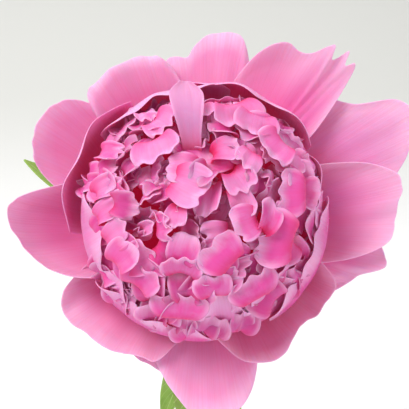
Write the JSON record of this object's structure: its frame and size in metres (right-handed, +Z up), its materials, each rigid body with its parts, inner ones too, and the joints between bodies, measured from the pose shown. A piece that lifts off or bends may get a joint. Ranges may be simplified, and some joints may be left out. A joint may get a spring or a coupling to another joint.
{
  "type": "peony in a bud vase",
  "caption": "Cut double peony with a ball of ruffled inner petals inside wide guard petals, leaning out of a small white bud vase with a flared lip.",
  "frame": {"origin": "centre of the vase's flat foot, on the surface that it stands on", "axes": "+Z up along the vase's axis; the bloom leans and faces towards -Y; +X is to the right of somebody who looks at the bloom's face"},
  "size_m": [0.1633, 0.1359, 0.3003],
  "materials": {
    "glaze": "gloss",
    "stem": "satin",
    "leaf": "satin",
    "sepal": "satin",
    "guard_petal": "satin",
    "collar_petal": "satin",
    "inner_petal": "satin"
  },
  "bodies": {
    "root": {"vase": "glaze", "stem": "stem", "leaf_upper": "leaf", "leaf_lower": "leaf", "sepal_01": "sepal", "sepal_02": "sepal", "sepal_03": "sepal", "sepal_04": "sepal", "sepal_05": "sepal", "guard_petal_01": "guard_petal", "guard_petal_02": "guard_petal", "guard_petal_03": "guard_petal", "guard_petal_04": "guard_petal", "guard_petal_05": "guard_petal", "guard_petal_06": "guard_petal", "guard_petal_07": "guard_petal", "guard_petal_08": "guard_petal", "guard_petal_09": "guard_petal", "guard_petal_10": "guard_petal", "guard_petal_11": "guard_petal", "guard_petal_12": "guard_petal", "collar_petal_01": "collar_petal", "collar_petal_02": "collar_petal", "collar_petal_03": "collar_petal", "collar_petal_04": "collar_petal", "collar_petal_05": "collar_petal", "collar_petal_06": "collar_petal", "collar_petal_07": "collar_petal", "collar_petal_08": "collar_petal", "inner_petal_01": "inner_petal", "inner_petal_02": "inner_petal", "inner_petal_03": "inner_petal", "inner_petal_04": "inner_petal", "inner_petal_05": "inner_petal", "inner_petal_06": "inner_petal", "inner_petal_07": "inner_petal", "inner_petal_08": "inner_petal", "inner_petal_09": "inner_petal", "inner_petal_10": "inner_petal", "inner_petal_11": "inner_petal", "inner_petal_12": "inner_petal", "inner_petal_13": "inner_petal", "inner_petal_14": "inner_petal", "inner_petal_15": "inner_petal", "inner_petal_16": "inner_petal", "inner_petal_17": "inner_petal", "inner_petal_18": "inner_petal", "inner_petal_19": "inner_petal", "inner_petal_20": "inner_petal", "inner_petal_21": "inner_petal", "inner_petal_22": "inner_petal", "inner_petal_23": "inner_petal", "inner_petal_24": "inner_petal", "inner_petal_25": "inner_petal", "inner_petal_26": "inner_petal", "inner_petal_27": "inner_petal", "inner_petal_28": "inner_petal", "inner_petal_29": "inner_petal", "inner_petal_30": "inner_petal"}
  },
  "joints": []
}
